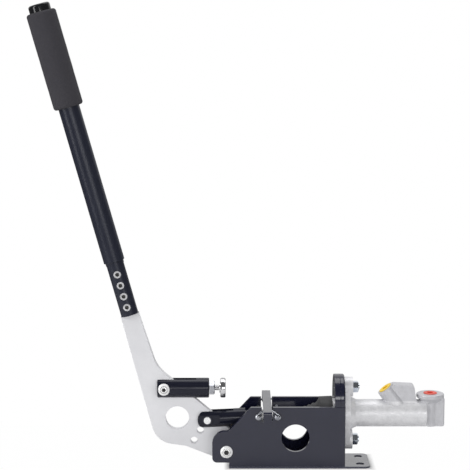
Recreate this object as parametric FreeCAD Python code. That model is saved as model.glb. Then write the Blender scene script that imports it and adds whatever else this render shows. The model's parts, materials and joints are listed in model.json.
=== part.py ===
import FreeCAD, Part
import math
import os

# Hydraulic parking brake lever. Millimetres, +Z up, X towards the master cylinder, Y across the base.
# The origin lies on the base's underside, under the end face that carries the master cylinder.

V = FreeCAD.Vector
X = V(1, 0, 0)
Y = V(0, 1, 0)
Z = V(0, 0, 1)

# Clearances
RUNNING = 0.05
SLIP = 0.1
SIDE_PLAY = 0.3

# Shares of a screw head's or nut's own size
BUTTON_RIM = 0.3
BUTTON_SOCKET = 0.7
NUT_CROWN = 0.97

# Base channel
BASE_WIDTH = 50.0
SIDE_T = 4.0
FLOOR_T = 2.0
SIDE_TOP_Z = 66.0
FRONT_X = -140.2
EAR_BOTTOM_Z = 6.3
EAR_TOP_Z = 40.5
FLOOR_FRONT_X = -122.3
RAMP_TOP_X = -99.4
RAMP_FOOT_X = -123.1
FOOT_END_X = 27.1
FOOT_CORNER_R = 6.0
EDGE_CHAMFER = 0.4
EAR_LOWER_R = 5.0
EAR_UPPER_R = 13.0
RAMP_TOP_R = 2.0
RAMP_FOOT_R = 7.0
WINDOW_X = -52.4
WINDOW_Z = 32.9
WINDOW_R = 14.8

# Floor bolts
BOLT_HOLE_R = 4.3
REAR_BOLT_X = 16.8
FRONT_BOLT_X = -96.0
FLOOR_BOLT_SPACING_Y = 28.0

# Upright at the cylinder end
END_T = 6.0
ADAPTER_T = 5.0
ADAPTER_EDGE_R = 2.0
UPRIGHT_TOP_Z = 96.0

# Lever pivot
PIVOT_X = -125.2
PIVOT_Z = 18.1
PIVOT_BOLT_R = 4.0
PIVOT_HEAD_R = 6.5
PIVOT_HEAD_H = 3.6
PIVOT_NUT_AF = 13.0
PIVOT_NUT_H = 6.5
PIVOT_SOCKET_AF = 5.0
BOLT_END = 2.0
SLEEVE_R = 6.0
BUSHING_R = 8.0
BUSHING_HALF = 6.0
SPACER_R = 9.0

# Lever blade, measured from the pivot
BLADE_T = 8.0
HUB_R = 15.5
HEEL = (-74.8, 5.1)
HEEL_R = 24.0
KINK = (-43.5, 0.6)
KINK_R = 6.0
SHOULDER = (-12.0, 34.5)
SHOULDER_R = 20.0
THROAT = (-73.8, 86.6)
THROAT_R = 38.0
BLADE_HOLE = (-52.4, 31.3)
BLADE_HOLE_R = 12.6
SPARE_HOLES = ((-27.9, 17.6), (-34.6, 6.8))

# Lever axis: leans back from vertical and passes beside the pivot
LEAN = math.radians(15.65)
AXIS_OFFSET = 59.9
SOCKET_START = 165.0
SOCKET_LENGTH = 59.0
SOCKET_R = 9.75
SOCKET_SPIGOT = 30.0
TANG_W = 17.6
TANG_OVERLAP = 2.0
TANG_END_GAP = 1.0
SLOT_FLOOR = 3.0
TUBE_R = 11.1
TUBE_WALL = 2.0
TUBE_LENGTH = 270.0
GRIP_LENGTH = 102.0
GRIP_R = 15.75
GRIP_EDGE_R = 3.0
CAP_R = 11.35
CAP_H = 8.0
CAP_EDGE_R = 2.5
CAP_STEM = 16.0
SCREW_COUNT = 4
SCREW_PITCH = 12.1
SCREW_FIRST = 9.3
SCREW_R = 2.5
SCREW_HEAD_R = 3.9
SCREW_HEAD_H = 3.0
SCREW_SINK = 0.8
SCREW_SOCKET_AF = 4.0
SCREW_SOCKET_DEPTH = 2.0
SCREW_END_GAP = 1.5

# Stop block and stop screw, measured from the pivot
STOP_Z = 63.3
STOP_LEFT = -73.6
STOP_LENGTH = 55.0
STOP_R = 10.6
STOP_EDGE_R = 1.2
STOP_SLOT_END = -32.0
CLAMP_X = -66.4
CLAMP_R = 3.0
CLAMP_HEAD_R = 6.4
CLAMP_HEAD_H = 3.2
CLAMP_SOCKET_AF = 4.0
CLAMP_SEAT_Y = 8.6
CLAMP_NUT_AF = 10.0
CLAMP_NUT_H = 5.0
CLAMP_END = 1.0
STUD_R = 3.0
STUD_HOLE_DEPTH = 12.0
STUD_START = 4.0
LOCK_NUT_GAP = 0.4
LOCK_NUT_H = 5.6
LOCK_NUT_AF = 13.0
LOCK_NUT_TURN = 30.0
DISC_GAP = 6.2
DISC_T = 5.1
DISC_R = 10.5

# Clevis link and push rod, measured from the link pin along the link
PIN = (-20.4, 29.7)
PIN_R = 3.75
PIN_HALF = 10.2
CLEVIS_R = 9.6
CLEVIS_BACK = 10.2
CLEVIS_END_R = 8.9
CLEVIS_LAND = 5.0
CLEVIS_SLOT_END = 28.0
CLEVIS_FLAT_Y = 8.2
CLEVIS_FLAT_END = 13.0
CLIP_T = 1.0
CLIP_R = 5.0
ROD_R = 4.0
ROD_THREAD = 19.0
ROD_TIP_R = 3.9
ROD_NECK_R = 3.6
ROD_NUT_AF = 13.0
ROD_NUT_H = 6.0

# Lock bar across the channel
LOCK_X = -82.2
LOCK_W = 9.0
LOCK_T = 2.4
LOCK_TOP_Z = 67.0
LOCK_HALF = 49.0
LOCK_TAB_Z = 54.3
LOCK_BEND_R = 2.6
LOCK_SLOT_W = 11.7
LOCK_SLOT_Z = 50.0
LOCK_SLOT_R = 2.0
LOCK_NOTCH_DEPTH = 4.3
LOCK_NOTCH_PLAY = 1.5
LOCK_SPRING_FEET = (-9.4, 11.0)
LOCK_SPRING_Z = 56.0
LOCK_WIRE_R = 1.0
LOCK_EYE_R = 2.6
SPRING_SCREW_R = 1.45
SPRING_SCREW_HEAD_R = 2.8
SPRING_SCREW_HEAD_H = 1.6
SPRING_SOCKET_AF = 1.6

# Master cylinder
AXIS_Z = 54.0
FLANGE_BOLT_HALF = 28.6
FLANGE_T = 6.0
LUG_T = 9.0
LUG_R = 10.5
FLANGE_HUB_R = 20.0
FLANGE_BOLT_R = 3.175
FLANGE_HEAD_R = 6.3
FLANGE_SOCKET_AF = 4.0
FLANGE_SOCKET_DEPTH = 2.4
FLANGE_NUT_AF = 11.1
FLANGE_NUT_H = 6.0
FLANGE_BOLT_END = 1.2
BODY_R = 14.5
BODY_END_X = 87.0
CYLINDER_END_X = 106.6
SPIGOT_R = 16.0
SPIGOT_PROUD = 9.0
BORE_R = 9.55
BORE_END_X = 82.5
FAIRING_R = 18.0
FAIRING_END_X = 13.0
INLET_X = 64.0
INLET_TILT = math.radians(36.5)
INLET_REACH = 33.8
INLET_R = 9.35
INLET_ROOT_R = 10.4
PORT_R = 6.5
PORT_DEPTH = 12.0
PASSAGE_R = 2.0
PASSAGE_OVERLAP = 4.0
RIM_ROUNDING = 0.4
PAD_LEFT_X = 50.0
PAD_RIGHT_X = 74.0
PAD_FOOT_X = 77.0
PAD_TOP_Z = 86.0
PAD_HALF_Y = 7.4
PAD_CORNER_R = 3.0
PAD_DRAFT = 0.5
PAD_FALL = 1.0
OUTLET_X = 91.8
OUTLET_TOP_Z = 75.5
OUTLET_HEAD_R = 14.7
OUTLET_RIM_H = 3.5
OUTLET_NECK_Z = 66.0
OUTLET_R = 8.8
END_BLOCK_X = 95.0
END_BLOCK_HALF_Y = 7.2
END_BLOCK_EDGE_R = 2.0
BODY_BOTTOM_Z = 41.0
PLUG_FLANGE_H = 0.8
PLUG_FLANGE_R = 7.2
PLUG_DEPTH = 8.0
PLUG_RECESS_R = 3.2
PLUG_RECESS = 3.0

# Parts inside the master cylinder
PISTON_X = -9.0
PISTON_LENGTH = 44.0
POCKET_R = 5.5
POCKET_DEPTH = 8.0
POCKET_GAP = 0.4
SEAL_T = 4.0
SEAL_LIP = 0.4
SEAL_WAIST = 0.6
SEAL_GROOVE_R = 7.0
SEAL_STARTS = (12.0, 34.0)
SPRING_NOSE_R = 5.0
SPRING_NOSE = 4.0
SPRING_R = 7.0
SPRING_WIRE_R = 0.9
SPRING_TURNS = 7
WASHER_T = 1.5
WASHER_HOLE_R = 6.3
RING_T = 1.2
RING_GROOVE_R = 10.6
RING_HOLE_R = 7.4
RING_GAP = 4.0

# Dust boot, round the push rod's axis
BOOT_WALL = 1.2
BOOT_SLEEVE = 13.0
BOOT_LIP_GAP = 0.9
BOOT_PLATE_GAP = 1.2
BOOT_BIG_R = 18.4
BOOT_SHOULDER = 3.0
BOOT_NECK_R = 13.6
BOOT_SMALL_R = 7.4
BOOT_FOLDS = 4
BOOT_FOLD_PITCH = 4.6
BOOT_FOLD_DEPTH = 2.2
BOOT_CUFF = 4.0

# Pull of the lever, from rest to the end of the piston's stroke
FULL_PULL = math.radians(30.0)

# Places that follow from the sizes above
INNER_HALF = BASE_WIDTH / 2 - SIDE_T
UPRIGHT_BACK_X = -END_T - ADAPTER_T
TUBE_START = SOCKET_START + SOCKET_LENGTH
TUBE_END = TUBE_START + TUBE_LENGTH
LOCK_NUT_X = PIVOT_X + STOP_LEFT + STOP_LENGTH + LOCK_NUT_GAP
PIN_X = PIVOT_X + PIN[0]
PIN_Z = PIVOT_Z + PIN[1]
ROD_TIP_X = PISTON_X + POCKET_DEPTH - POCKET_GAP - ROD_TIP_R
ROD_LENGTH = math.hypot(ROD_TIP_X - PIN_X, AXIS_Z - PIN_Z)
LINK_SLOPE = math.asin((AXIS_Z - PIN_Z) / ROD_LENGTH)
PULLED_PIN_X = PIVOT_X + PIN[0] * math.cos(FULL_PULL) + PIN[1] * math.sin(FULL_PULL)
LOCK_NOTCH_REACH = LOCK_X - PULLED_PIN_X
LOCK_NOTCH_W = LOCK_W + LOCK_NOTCH_PLAY
CLEVIS_LENGTH = LOCK_NOTCH_REACH + LOCK_NOTCH_W / 2 + CLEVIS_LAND


def cylinder(radius, start, end):
    return Part.makeCylinder(radius, (end - start).Length, start, end - start)


def box(low, high):
    size = high - low
    return Part.makeBox(size.x, size.y, size.z, low)


def across(radius, x, z, y0, y1):
    """Round bar along Y."""
    return cylinder(radius, V(x, y0, z), V(x, y1, z))


def along(radius, x0, x1, y, z):
    """Round bar along X."""
    return cylinder(radius, V(x0, y, z), V(x1, y, z))


def rounded_wire(corners, place):
    """Closed wire through corners (a, b, radius); place turns (a, b) into a point."""
    points = [place(a, b) for a, b, _ in corners]
    stops = []
    for i, here in enumerate(points):
        radius = corners[i][2]
        to_last = (points[i - 1] - here).normalize()
        to_next = (points[(i + 1) % len(points)] - here).normalize()
        if radius == 0:
            stops.append((here, here, here))
            continue
        half = to_last.getAngle(to_next) / 2
        reach = radius / math.tan(half)
        middle = (to_last + to_next).normalize() * (radius / math.sin(half) - radius)
        stops.append((here + to_last * reach, here + middle, here + to_next * reach))
    edges = []
    for i, (start, middle, end) in enumerate(stops):
        if (end - start).Length > 0:
            edges.append(Part.Arc(start, middle, end).toShape())
        following = stops[(i + 1) % len(stops)][0]
        edges.append(Part.LineSegment(end, following).toShape())
    return Part.Wire(edges)


def plate_xz(corners, y0, y1):
    """Plate with an outline in XZ."""
    wire = rounded_wire(corners, lambda a, b: V(a, y0, b))
    return Part.Face(wire).extrude(V(0, y1 - y0, 0))


def plate_yz(corners, x0, x1):
    """Plate with an outline in YZ."""
    wire = rounded_wire(corners, lambda a, b: V(x0, a, b))
    return Part.Face(wire).extrude(V(x1 - x0, 0, 0))


def revolved(profile):
    """Solid of revolution about X from (x, radius) corners."""
    wire = Part.makePolygon([V(x, 0, r) for x, r in profile + profile[:1]])
    return Part.Face(wire).revolve(V(0, 0, 0), X, 360)


def hexagon(flats, start, end, turn=0.0):
    """Hexagonal bar between two points, turned about its own axis by degrees."""
    axis = end - start
    corner_r = flats / math.sqrt(3)
    side = axis.cross(Z if abs(axis.z) < abs(axis.x) + abs(axis.y) else X).normalize()
    up = axis.cross(side).normalize()
    corners = []
    for i in range(7):
        angle = math.radians(60 * i + turn)
        corners.append(start + side * corner_r * math.cos(angle) + up * corner_r * math.sin(angle))
    return Part.Face(Part.makePolygon(corners)).extrude(axis)


def nut(flats, bore, start, end, turn=0.0):
    """Hexagon nut with its corners turned off on the outer face."""
    height = (end - start).Length
    blank = hexagon(flats, start, end, turn)
    crown = Part.makeCone(flats / 2 + height, flats / 2 * NUT_CROWN, height, start, end - start)
    return blank.common(crown).cut(cylinder(bore, start, end))


def button_screw(shank_r, head_r, head_h, seat, tip, socket_flats):
    """Screw with a domed head and a hexagon socket; the head sits outside the seat."""
    inward = (tip - seat).normalize()
    top = seat - inward * head_h
    dome_h = head_h * (1 - BUTTON_RIM)
    ball_r = (head_r ** 2 + dome_h ** 2) / (2 * dome_h)
    ball = Part.makeSphere(ball_r, top + inward * ball_r)
    head = ball.common(cylinder(head_r, top, seat))
    socket = hexagon(socket_flats, top - inward, top + inward * head_h * BUTTON_SOCKET)
    return head.fuse(cylinder(shank_r, seat, tip)).removeSplitter().cut(socket)


def lever_point(along_axis, beside):
    """Point of the lever plane from a distance along the lever's axis and one beside it."""
    reach = beside - AXIS_OFFSET
    x = PIVOT_X - along_axis * math.sin(LEAN) + reach * math.cos(LEAN)
    z = PIVOT_Z + along_axis * math.cos(LEAN) + reach * math.sin(LEAN)
    return V(x, 0, z)


def on_lever(shape):
    """Places a shape that was drawn about X = 0 onto the lever's axis."""
    turn = FreeCAD.Rotation(Y, -90.0 - math.degrees(LEAN))
    shape.Placement = FreeCAD.Placement(lever_point(0, 0), turn).multiply(shape.Placement)
    return shape


def on_link(shape):
    """Places a shape that was drawn along X from the link pin."""
    turn = FreeCAD.Rotation(Y, -math.degrees(LINK_SLOPE))
    shape.Placement = FreeCAD.Placement(V(PIN_X, 0, PIN_Z), turn).multiply(shape.Placement)
    return shape


def tangent_point(source, radius, side):
    """Where a line from source touches a circle about the pivot; side is 1 or -1."""
    distance = math.hypot(source[0], source[1])
    spread = math.acos(radius / distance)
    angle = math.atan2(source[1], source[0]) + side * spread
    return radius * math.cos(angle), radius * math.sin(angle)


def side_plate(side):
    """One side of the channel; side is -1 for the near one and 1 for the far one."""
    outer = side * BASE_WIDTH / 2
    inner = side * INNER_HALF
    low, high = sorted((outer, inner))
    corners = [
        (FRONT_X, EAR_BOTTOM_Z, EAR_LOWER_R),
        (FLOOR_FRONT_X, EAR_BOTTOM_Z, 0),
        (FLOOR_FRONT_X, FLOOR_T, 0),
        (0, FLOOR_T, 0),
        (0, SIDE_TOP_Z, 0),
        (RAMP_TOP_X, SIDE_TOP_Z, RAMP_TOP_R),
        (RAMP_FOOT_X, EAR_TOP_Z, RAMP_FOOT_R),
        (FRONT_X, EAR_TOP_Z, EAR_UPPER_R),
    ]
    plate = plate_xz(corners, low, high)
    outline = [edge for edge in plate.Edges if abs(edge.BoundBox.YMin - edge.BoundBox.YMax) < 1e-6]
    shown = [e for e in outline if abs(e.BoundBox.YMin - outer) < 1e-6 and e.BoundBox.ZMax > FLOOR_T + 0.01]
    plate = plate.makeChamfer(EDGE_CHAMFER, shown)
    plate = plate.cut(across(PIVOT_BOLT_R + RUNNING, PIVOT_X, PIVOT_Z, low - 1, high + 1))
    window = across(WINDOW_R, WINDOW_X, WINDOW_Z, low - 1, high + 1)
    plate = plate.cut(window)
    slot = [
        (LOCK_X - LOCK_SLOT_W / 2, LOCK_SLOT_Z, LOCK_SLOT_R),
        (LOCK_X + LOCK_SLOT_W / 2, LOCK_SLOT_Z, LOCK_SLOT_R),
        (LOCK_X + LOCK_SLOT_W / 2, SIDE_TOP_Z + 5, 0),
        (LOCK_X - LOCK_SLOT_W / 2, SIDE_TOP_Z + 5, 0),
    ]
    plate = plate.cut(plate_xz(slot, low - 1, high + 1))
    for foot in LOCK_SPRING_FEET:
        plate = plate.cut(across(SPRING_SCREW_R, LOCK_X + foot, LOCK_SPRING_Z, low - 1, high + 1))
    return plate


def floor_plate():
    """Floor of the channel, carried on behind it as a bolting foot."""
    half = BASE_WIDTH / 2
    plate = box(V(FLOOR_FRONT_X, -half, 0), V(FOOT_END_X, half, FLOOR_T))
    corners = [e for e in plate.Edges if abs(e.BoundBox.XMin - FOOT_END_X) < 1e-6 and e.BoundBox.ZLength > 1]
    plate = plate.makeFillet(FOOT_CORNER_R, corners)
    for x in (FRONT_BOLT_X, REAR_BOLT_X):
        for side in (-1, 1):
            y = side * FLOOR_BOLT_SPACING_Y / 2
            plate = plate.cut(cylinder(BOLT_HOLE_R, V(x, y, -1), V(x, y, FLOOR_T + 1)))
    return plate


def upright(x0, x1):
    """Plate that closes the channel and rises over it with a round top."""
    half = BASE_WIDTH / 2
    corners = [
        (-INNER_HALF, FLOOR_T, 0),
        (INNER_HALF, FLOOR_T, 0),
        (INNER_HALF, SIDE_TOP_Z, 0),
        (half, SIDE_TOP_Z, 0),
        (half, UPRIGHT_TOP_Z, half - 0.01),
        (-half, UPRIGHT_TOP_Z, half - 0.01),
        (-half, SIDE_TOP_Z, 0),
        (-INNER_HALF, SIDE_TOP_Z, 0),
    ]
    return plate_yz(corners, x0, x1)


def drilled_upright(plate):
    """Cuts the spigot hole and the countersunk holes of the flange bolts."""
    plate = plate.cut(along(SPIGOT_R + SLIP, UPRIGHT_BACK_X - 1, 1, 0, AXIS_Z))
    for side in (-1, 1):
        z = AXIS_Z + side * FLANGE_BOLT_HALF
        plate = plate.cut(along(FLANGE_BOLT_R + SLIP, UPRIGHT_BACK_X - 1, 1, 0, z))
        plate = plate.cut(flange_head(z, SLIP))
    return plate


def flange_head(z, clearance):
    """Countersunk head flush with the upright's back, larger all round by a clearance."""
    large = FLANGE_HEAD_R + clearance
    small = FLANGE_BOLT_R + clearance
    return Part.makeCone(large, small, large - small, V(UPRIGHT_BACK_X, 0, z), X)


def end_plate():
    return drilled_upright(upright(UPRIGHT_BACK_X, -ADAPTER_T))


def adapter_plate():
    """Second layer under the cylinder's flange, with a rounded rim."""
    plate = upright(-ADAPTER_T, 0)
    outer_face = [e for e in plate.Edges if max(abs(e.BoundBox.XMin), abs(e.BoundBox.XMax)) < 1e-6]
    rim = [e for e in outer_face if e.BoundBox.ZMax > SIDE_TOP_Z + 1]
    return drilled_upright(plate.makeFillet(ADAPTER_EDGE_R, rim))


def flange():
    """Two-lug mounting flange of the cylinder."""
    hub = along(FLANGE_HUB_R, 0, FLANGE_T, 0, AXIS_Z)
    solid = hub
    for side in (-1, 1):
        z = AXIS_Z + side * FLANGE_BOLT_HALF
        solid = solid.fuse(along(LUG_R, 0, LUG_T, 0, z))
        solid = solid.fuse(lug_web(side))
    return solid


def lug_web(side):
    """Web between the flange's hub and one lug, along the lines that touch both circles."""
    lean = math.asin((FLANGE_HUB_R - LUG_R) / FLANGE_BOLT_HALF)
    corners = []
    for radius, height in ((FLANGE_HUB_R, 0), (LUG_R, FLANGE_BOLT_HALF)):
        corners.append((radius * math.cos(lean), height + radius * math.sin(lean)))
    left = [(-y, AXIS_Z + side * h, 0) for y, h in corners]
    right = [(y, AXIS_Z + side * h, 0) for y, h in reversed(corners)]
    return plate_yz(left + right, 0, FLANGE_T)


def inlet_axis():
    """Root and mouth of the inlet boss."""
    root = V(INLET_X, 0, AXIS_Z)
    direction = V(-math.sin(INLET_TILT), 0, math.cos(INLET_TILT))
    return root, root + direction * INLET_REACH, direction


def cast_pad():
    """Raised flat-sided pad behind the inlet boss."""
    corners = [
        (PAD_LEFT_X, AXIS_Z, 0),
        (PAD_FOOT_X, AXIS_Z, 0),
        (PAD_FOOT_X - PAD_DRAFT, AXIS_Z + BODY_R, 0),
        (PAD_RIGHT_X, PAD_TOP_Z - PAD_FALL, PAD_CORNER_R),
        (PAD_LEFT_X, PAD_TOP_Z, PAD_CORNER_R),
    ]
    return plate_xz(corners, -PAD_HALF_Y, PAD_HALF_Y)


def outlet_boss():
    """Flared outlet boss, its neck down the side of the body, and the square end behind it."""
    rim_z = OUTLET_TOP_Z - OUTLET_RIM_H
    rim = Part.makeCylinder(OUTLET_HEAD_R, OUTLET_RIM_H, V(OUTLET_X, 0, rim_z))
    top = [e for e in rim.Edges if abs(e.BoundBox.ZMin - OUTLET_TOP_Z) < 1e-6 and e.BoundBox.ZLength < 1e-6]
    rim = rim.makeFillet(OUTLET_RIM_H * RIM_ROUNDING, top)
    flare_h = rim_z - OUTLET_NECK_Z
    flare = Part.makeCone(OUTLET_R, OUTLET_HEAD_R, flare_h, V(OUTLET_X, 0, OUTLET_NECK_Z))
    neck = Part.makeCylinder(OUTLET_R, rim_z - BODY_BOTTOM_Z, V(OUTLET_X, 0, BODY_BOTTOM_Z))
    low = V(END_BLOCK_X, -END_BLOCK_HALF_Y, BODY_BOTTOM_Z)
    block = box(low, V(CYLINDER_END_X, END_BLOCK_HALF_Y, rim_z))
    far = [e for e in block.Edges if abs(e.BoundBox.XMin - CYLINDER_END_X) < 1e-6]
    block = block.makeFillet(END_BLOCK_EDGE_R, far)
    return [rim, flare, neck, block]


def port(mouth, outward):
    """Port and the passage from its foot to the bore."""
    threaded = cylinder(PORT_R, mouth - outward * PORT_DEPTH, mouth + outward)
    passage = cylinder(PASSAGE_R, mouth - outward * (INLET_REACH - BORE_R + PASSAGE_OVERLAP), mouth)
    return threaded.fuse(passage)


def cylinder_body():
    """Cast body of the master cylinder with its bore and ports."""
    body = along(BODY_R, 0, BODY_END_X, 0, AXIS_Z)
    root, mouth, outward = inlet_axis()
    boss = Part.makeCone(INLET_ROOT_R, INLET_R, INLET_REACH, root, outward)
    fairing = Part.makeCone(FAIRING_R, BODY_R, FAIRING_END_X - FLANGE_T, V(FLANGE_T, 0, AXIS_Z), X)
    spigot = along(SPIGOT_R, UPRIGHT_BACK_X - SPIGOT_PROUD, 0, 0, AXIS_Z)
    pieces = [flange(), fairing, spigot, boss, cast_pad()] + outlet_boss()
    for piece in pieces:
        body = body.fuse(piece)
    body = body.removeSplitter()
    body = body.cut(along(BORE_R, UPRIGHT_BACK_X - SPIGOT_PROUD - 1, BORE_END_X, 0, AXIS_Z))
    body = body.cut(along(RING_GROOVE_R, ring_x(), ring_x() + RING_T, 0, AXIS_Z))
    body = body.cut(port(mouth, outward))
    outlet = V(OUTLET_X, 0, OUTLET_TOP_Z)
    body = body.cut(cylinder(PORT_R, outlet - Z * PORT_DEPTH, outlet + Z))
    body = body.cut(cylinder(PASSAGE_R, V(OUTLET_X, 0, AXIS_Z), outlet))
    body = body.cut(along(PASSAGE_R, BORE_END_X - 1, OUTLET_X, 0, AXIS_Z))
    for side in (-1, 1):
        z = AXIS_Z + side * FLANGE_BOLT_HALF
        body = body.cut(along(FLANGE_BOLT_R + SLIP, -1, LUG_T + 1, 0, z))
    return body


def port_plug(mouth, outward):
    """Push-in plug with a thin flange and a recessed top."""
    plug = cylinder(PORT_R - SLIP, mouth - outward * PLUG_DEPTH, mouth)
    plug = plug.fuse(cylinder(PLUG_FLANGE_R, mouth, mouth + outward * PLUG_FLANGE_H)).removeSplitter()
    top = mouth + outward * PLUG_FLANGE_H
    return plug.cut(cylinder(PLUG_RECESS_R, top - outward * PLUG_RECESS, top + outward))


def inlet_plug():
    _, mouth, outward = inlet_axis()
    return port_plug(mouth, outward)


def outlet_plug():
    return port_plug(V(OUTLET_X, 0, OUTLET_TOP_Z), Z)


def flange_bolts():
    """Two countersunk screws, their heads flush with the upright's back."""
    screws = []
    for side in (-1, 1):
        z = AXIS_Z + side * FLANGE_BOLT_HALF
        back = UPRIGHT_BACK_X
        shank = along(FLANGE_BOLT_R, back, LUG_T + FLANGE_NUT_H + FLANGE_BOLT_END, 0, z)
        socket = hexagon(FLANGE_SOCKET_AF, V(back - 1, 0, z), V(back + FLANGE_SOCKET_DEPTH, 0, z))
        screws.append(flange_head(z, 0).fuse(shank).removeSplitter().cut(socket))
    return Part.makeCompound(screws)


def flange_nuts():
    nuts = []
    for side in (-1, 1):
        z = AXIS_Z + side * FLANGE_BOLT_HALF
        seat = V(LUG_T, 0, z)
        nuts.append(nut(FLANGE_NUT_AF, FLANGE_BOLT_R + RUNNING, seat, seat + X * FLANGE_NUT_H))
    return Part.makeCompound(nuts)


def ring_x():
    """Left face of the retaining ring."""
    return PISTON_X - SLIP - WASHER_T - RING_T


def stop_washer():
    """Washer that the piston comes back against."""
    x1 = PISTON_X - SLIP
    ring = along(BORE_R - RUNNING, x1 - WASHER_T, x1, 0, AXIS_Z)
    return ring.cut(along(WASHER_HOLE_R, x1 - WASHER_T - 1, x1 + 1, 0, AXIS_Z))


def retaining_ring():
    """Open spring ring in the mouth of the bore."""
    x0 = ring_x()
    ring = along(RING_GROOVE_R - RUNNING, x0, x0 + RING_T, 0, AXIS_Z)
    ring = ring.cut(along(RING_HOLE_R, x0 - 1, x0 + RING_T + 1, 0, AXIS_Z))
    low = V(x0 - 1, -RING_GAP / 2, AXIS_Z - RING_GROOVE_R - 1)
    gap = box(low, V(x0 + RING_T + 1, RING_GAP / 2, AXIS_Z))
    return ring.cut(gap)


def piston():
    """Piston with a pocket for the push rod, two seal grooves and a spring nose."""
    radius = BORE_R - RUNNING
    end = PISTON_X + PISTON_LENGTH
    body = along(radius, PISTON_X, end, 0, AXIS_Z)
    body = body.fuse(along(SPRING_NOSE_R, end, end + SPRING_NOSE, 0, AXIS_Z)).removeSplitter()
    body = body.cut(along(POCKET_R, PISTON_X - 1, PISTON_X + POCKET_DEPTH, 0, AXIS_Z))
    for start in SEAL_STARTS:
        x0 = PISTON_X + start
        groove = along(radius + 1, x0, x0 + SEAL_T, 0, AXIS_Z).cut(
            along(SEAL_GROOVE_R, x0, x0 + SEAL_T, 0, AXIS_Z))
        body = body.cut(groove)
    return body


def piston_seals():
    seals = []
    for start in SEAL_STARTS:
        x0 = PISTON_X + start
        lip = SEAL_T * SEAL_LIP
        profile = [
            (x0, SEAL_GROOVE_R),
            (x0, BORE_R - SEAL_WAIST),
            (x0 + SEAL_T - lip, BORE_R - RUNNING),
            (x0 + SEAL_T, BORE_R - RUNNING),
            (x0 + SEAL_T, SEAL_GROOVE_R),
        ]
        seal = revolved(profile)
        seal.translate(V(0, 0, AXIS_Z))
        seals.append(seal)
    return Part.makeCompound(seals)


def return_spring():
    """Compression spring between the piston and the bore's blind end."""
    start = PISTON_X + PISTON_LENGTH + SPRING_WIRE_R + SLIP
    end = BORE_END_X - SPRING_WIRE_R - SLIP
    pitch = (end - start) / SPRING_TURNS
    path = Part.makeHelix(pitch, end - start, SPRING_R)
    ring = Part.Wire(Part.makeCircle(SPRING_WIRE_R, V(SPRING_R, 0, 0), Y))
    coil = Part.Wire(path).makePipeShell([ring], True, True)
    coil.Placement = FreeCAD.Placement(V(start, 0, AXIS_Z), FreeCAD.Rotation(Z, X))
    return coil


def dust_boot():
    """Rubber boot: a sleeve over the cylinder's spigot, a shoulder, and folds down to the push rod."""
    big = ROD_LENGTH - (ROD_TIP_X - UPRIGHT_BACK_X) - BOOT_PLATE_GAP
    folds_x = big - BOOT_SLEEVE - BOOT_SHOULDER
    outer = [(big, BOOT_BIG_R), (big - BOOT_SLEEVE, BOOT_BIG_R), (folds_x, BOOT_NECK_R)]
    step = (BOOT_NECK_R - BOOT_SMALL_R) / BOOT_FOLDS
    for i in range(BOOT_FOLDS):
        crest_x = folds_x - BOOT_FOLD_PITCH * (i + 1)
        crest = BOOT_NECK_R - step * (i + 1)
        outer.append((crest_x + BOOT_FOLD_PITCH / 2, crest - BOOT_FOLD_DEPTH + step))
        outer.append((crest_x, crest))
    cuff_x = outer[-1][0] - BOOT_CUFF
    outer.append((cuff_x, ROD_R + 2 * BOOT_WALL))
    inner = [(cuff_x, ROD_R + RUNNING), (cuff_x + BOOT_CUFF, ROD_R + RUNNING)]
    for x, radius in reversed(outer[3:-2]):
        inner.append((x, radius - BOOT_WALL))
    inner.append((folds_x + BOOT_WALL, BOOT_NECK_R - BOOT_WALL))
    inner.append((big - BOOT_SLEEVE + BOOT_WALL, SPIGOT_R + BOOT_LIP_GAP))
    inner.append((big, SPIGOT_R + BOOT_LIP_GAP))
    return on_link(revolved(outer + inner))


def pivot_bolt():
    half = BASE_WIDTH / 2
    seat = V(PIVOT_X, -half, PIVOT_Z)
    tip = V(PIVOT_X, half + PIVOT_NUT_H + BOLT_END, PIVOT_Z)
    return button_screw(PIVOT_BOLT_R, PIVOT_HEAD_R, PIVOT_HEAD_H, seat, tip, PIVOT_SOCKET_AF)


def pivot_nut():
    half = BASE_WIDTH / 2
    start = V(PIVOT_X, half, PIVOT_Z)
    return nut(PIVOT_NUT_AF, PIVOT_BOLT_R + RUNNING, start, start + Y * PIVOT_NUT_H)


def pivot_sleeve():
    """Tube clamped between the sides, which the lever turns on."""
    tube = across(SLEEVE_R, PIVOT_X, PIVOT_Z, -INNER_HALF, INNER_HALF)
    return tube.cut(across(PIVOT_BOLT_R + RUNNING, PIVOT_X, PIVOT_Z, -INNER_HALF - 1, INNER_HALF + 1))


def pivot_spacers():
    rings = []
    for side in (-1, 1):
        low, high = sorted((side * (BUSHING_HALF + SIDE_PLAY), side * INNER_HALF))
        ring = across(SPACER_R, PIVOT_X, PIVOT_Z, low, high)
        rings.append(ring.cut(across(SLEEVE_R + RUNNING, PIVOT_X, PIVOT_Z, low - 1, high + 1)))
    return Part.makeCompound(rings)


def pivot_bushing():
    """Bronze bushing in the blade's hub."""
    tube = across(BUSHING_R, PIVOT_X, PIVOT_Z, -BUSHING_HALF, BUSHING_HALF)
    return tube.cut(across(SLEEVE_R + RUNNING, PIVOT_X, PIVOT_Z, -BUSHING_HALF - 1, BUSHING_HALF + 1))


def blade_hole(radius, place):
    half = BLADE_T / 2 + 1
    return across(radius, PIVOT_X + place[0], PIVOT_Z + place[1], -half, half)


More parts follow.
